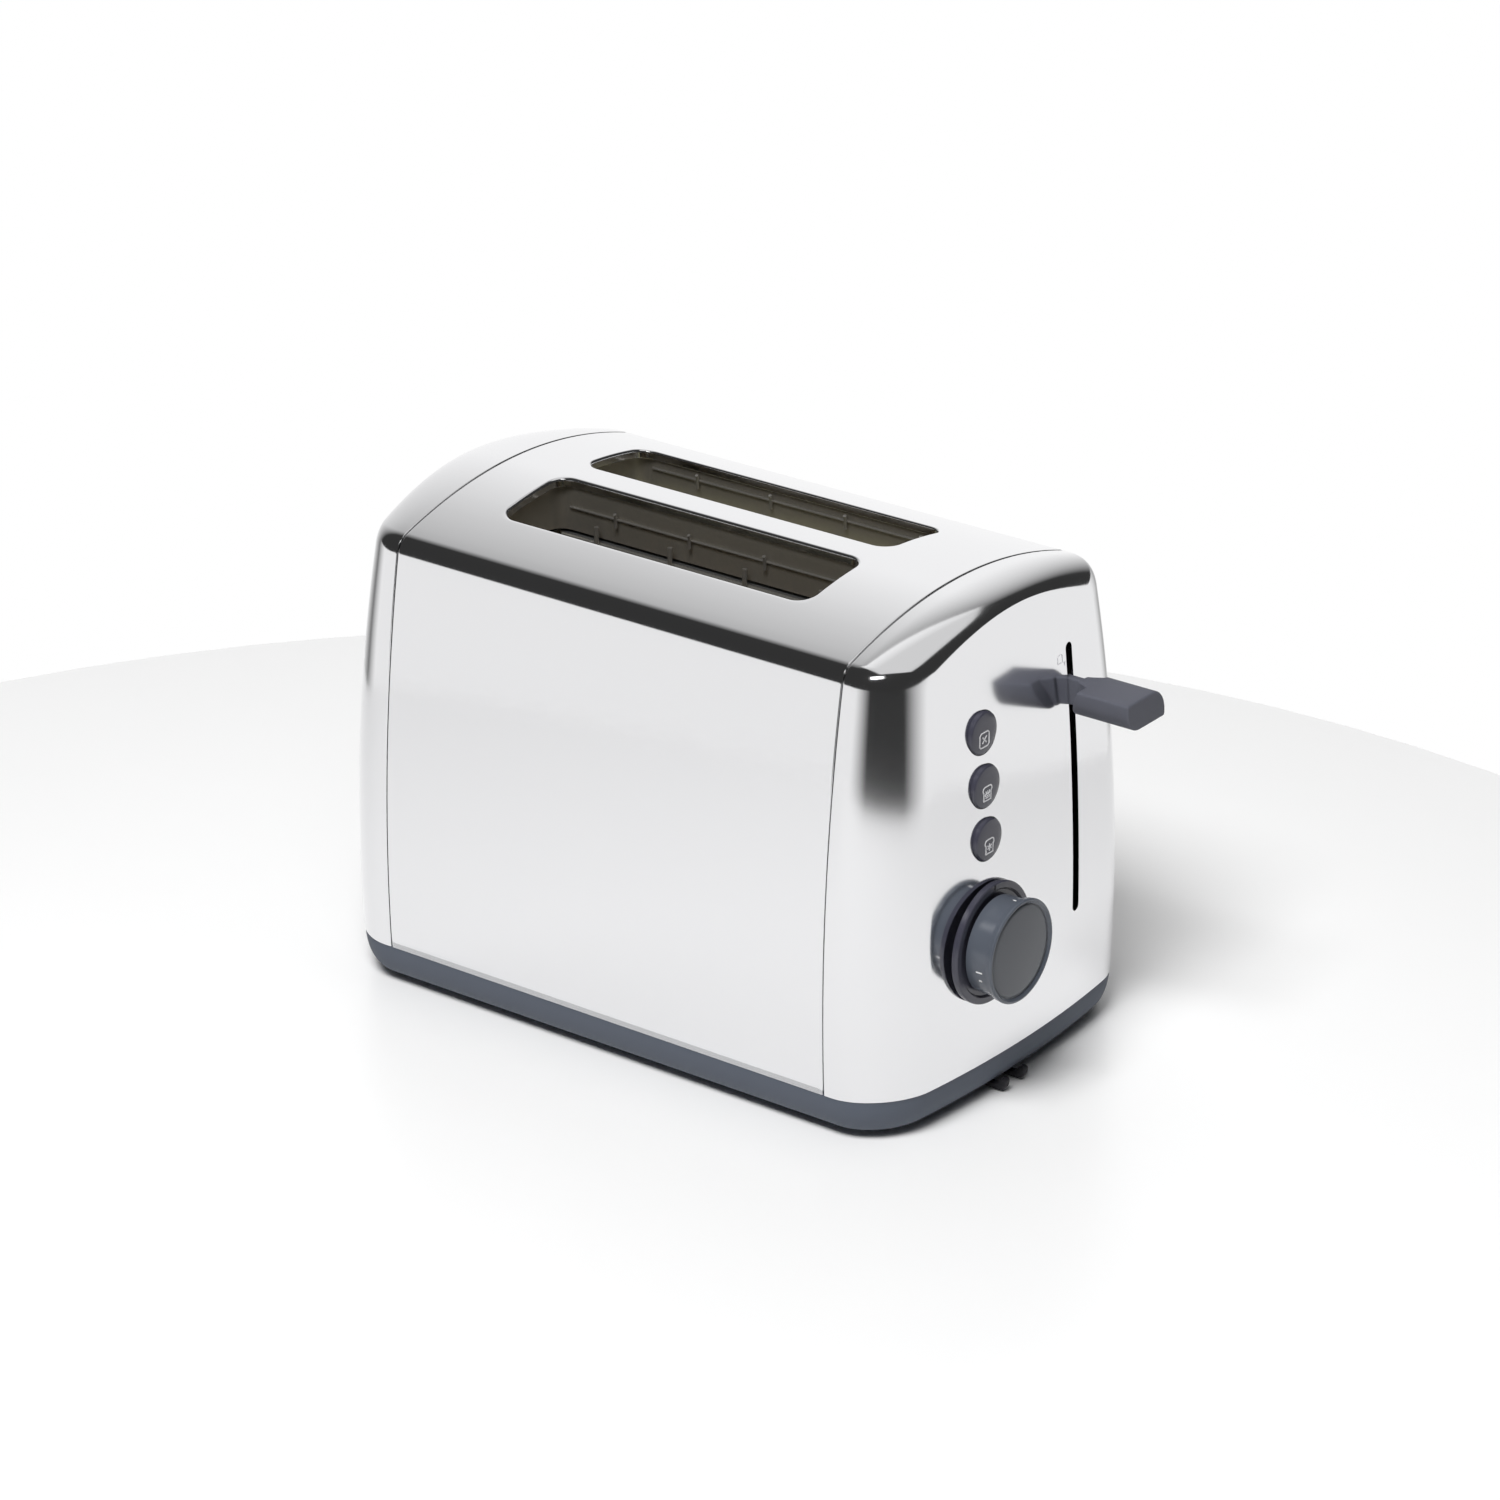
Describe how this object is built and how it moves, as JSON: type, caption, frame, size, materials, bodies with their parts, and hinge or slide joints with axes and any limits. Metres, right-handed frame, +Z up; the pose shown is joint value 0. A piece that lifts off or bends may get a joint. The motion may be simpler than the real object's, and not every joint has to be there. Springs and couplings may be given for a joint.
{
  "type": "pop-up toaster",
  "caption": "Pop-up toaster with wide slots, polished steel wrap and end caps, plastic base, side lever, round buttons and a browning dial.",
  "frame": {"origin": "middle of the whole object in plan, on the surface that the feet stand on", "axes": "+X towards the control end with the lever and dial, +Z up, the crumb tray slides out towards -X"},
  "size_m": [0.3016, 0.166, 0.194],
  "materials": {
    "polished_wrap": "polished stainless steel sheet",
    "polished_cap": "polished stainless steel pressing",
    "slate_plastic": "satin moulded plastic",
    "lever_plastic": "satin moulded plastic",
    "button_plastic": "semi-gloss moulded plastic",
    "dial_plastic": "gloss skirt and satin face",
    "black_plastic": "moulded plastic",
    "black_rubber": "matt rubber",
    "white_plastic": "moulded plastic",
    "galvanised_sheet": "zinc-plated sheet",
    "reflector_sheet": "aluminised sheet",
    "guide_wire": "plated wire",
    "bright_steel": "bright steel",
    "core_steel": "laminated steel",
    "mica": "pressed mica board",
    "heating_ribbon": "oxidised resistance ribbon",
    "copper_winding": "enamelled copper wire",
    "brass_post": "brass",
    "board_laminate": "glass-fibre laminate with solder mask"
  },
  "bodies": {
    "housing": {"body_wrap": "polished_wrap", "front_end_cap": "polished_cap", "rear_end_cap": "polished_cap", "base": "slate_plastic", "rubber_feet": "black_rubber", "cord_clip": "black_plastic", "cord_gland": "black_rubber", "front_chassis_plate": "galvanised_sheet", "rear_chassis_plate": "galvanised_sheet", "top_frame": "galvanised_sheet", "side_reflector_near": "reflector_sheet", "side_reflector_far": "reflector_sheet", "mica_card_near": "mica", "mica_card_centre": "mica", "mica_card_far": "mica", "heating_ribbon_near": "heating_ribbon", "heating_ribbon_centre": "heating_ribbon", "heating_ribbon_far": "heating_ribbon", "guide_rod": "bright_steel", "lift_spring": "bright_steel", "solenoid_core": "core_steel", "solenoid_coil": "copper_winding", "control_board": "board_laminate", "board_standoffs": "brass_post", "board_screws": "bright_steel", "board_parts": "black_plastic", "tact_switches": "black_plastic", "potentiometer": "core_steel", "button_housing": "black_plastic", "dial_ring": "button_plastic", "switch_block": "white_plastic", "contact_springs": "brass_post", "terminal_block": "white_plastic", "base_screws": "bright_steel", "frame_screws": "bright_steel"},
    "carriage": {"bread_rack_near": "guide_wire", "bread_rack_far": "guide_wire", "carriage_plate": "galvanised_sheet", "carriage_bush": "white_plastic", "lever_arm": "galvanised_sheet", "lever_knob": "lever_plastic", "latch_armature": "core_steel"},
    "near_outer_guide": {"bread_guide_near_outer": "guide_wire"},
    "near_inner_guide": {"bread_guide_near_inner": "guide_wire"},
    "far_inner_guide": {"bread_guide_far_inner": "guide_wire"},
    "far_outer_guide": {"bread_guide_far_outer": "guide_wire"},
    "dial": {"browning_dial": "dial_plastic", "dial_shaft": "bright_steel"},
    "cancel": {"cancel_button": "button_plastic"},
    "reheat": {"reheat_button": "button_plastic"},
    "defrost": {"defrost_button": "button_plastic"},
    "tray": {"crumb_tray": "galvanised_sheet", "crumb_tray_handle": "slate_plastic"}
  },
  "joints": [
    {"name": "lever_slide", "type": "slide", "parent": "housing", "child": "carriage", "axis": [0, 0, 1], "range_m": [-0.08, 0.011], "stiffness_N_per_m": 60, "deforming": ["lift_spring"]},
    {"name": "near_outer_guide_tilt", "type": "hinge", "parent": "housing", "child": "near_outer_guide", "pos_m": [-0.01785, -0.0355, 0.03], "axis": [1, 0, 0], "range_deg": [-2.49, 0.52]},
    {"name": "near_inner_guide_tilt", "type": "hinge", "parent": "housing", "child": "near_inner_guide", "pos_m": [-0.01785, -0.0092, 0.03], "axis": [1, 0, 0], "range_deg": [-0.52, 2.49]},
    {"name": "far_inner_guide_tilt", "type": "hinge", "parent": "housing", "child": "far_inner_guide", "pos_m": [-0.01785, 0.0092, 0.03], "axis": [1, 0, 0], "range_deg": [-2.49, 0.52]},
    {"name": "far_outer_guide_tilt", "type": "hinge", "parent": "housing", "child": "far_outer_guide", "pos_m": [-0.01785, 0.0355, 0.03], "axis": [1, 0, 0], "range_deg": [-0.52, 2.49]},
    {"name": "dial_turn", "type": "hinge", "parent": "housing", "child": "dial", "pos_m": [0.12315, -0.025, 0.067], "axis": [1, 0, 0], "range_deg": [-135, 135]},
    {"name": "cancel_button_press", "type": "slide", "parent": "housing", "child": "cancel", "axis": [-1, 0, 0], "range_m": [0, 0.0015], "stiffness_N_per_m": 800, "springref_m": -0.0005},
    {"name": "reheat_button_press", "type": "slide", "parent": "housing", "child": "reheat", "axis": [-1, 0, 0], "range_m": [0, 0.0015], "stiffness_N_per_m": 800, "springref_m": -0.0005},
    {"name": "defrost_button_press", "type": "slide", "parent": "housing", "child": "defrost", "axis": [-1, 0, 0], "range_m": [0, 0.0015], "stiffness_N_per_m": 800, "springref_m": -0.0005},
    {"name": "crumb_tray_slide", "type": "slide", "parent": "housing", "child": "tray", "axis": [-1, 0, 0], "range_m": [0, 0.2]}
  ],
  "couplings": [
    {"joint": "near_outer_guide_tilt", "follows": "lever_slide", "rad_per_m": 0.5},
    {"joint": "near_inner_guide_tilt", "follows": "lever_slide", "rad_per_m": -0.5},
    {"joint": "far_inner_guide_tilt", "follows": "lever_slide", "rad_per_m": 0.5},
    {"joint": "far_outer_guide_tilt", "follows": "lever_slide", "rad_per_m": -0.5}
  ]
}
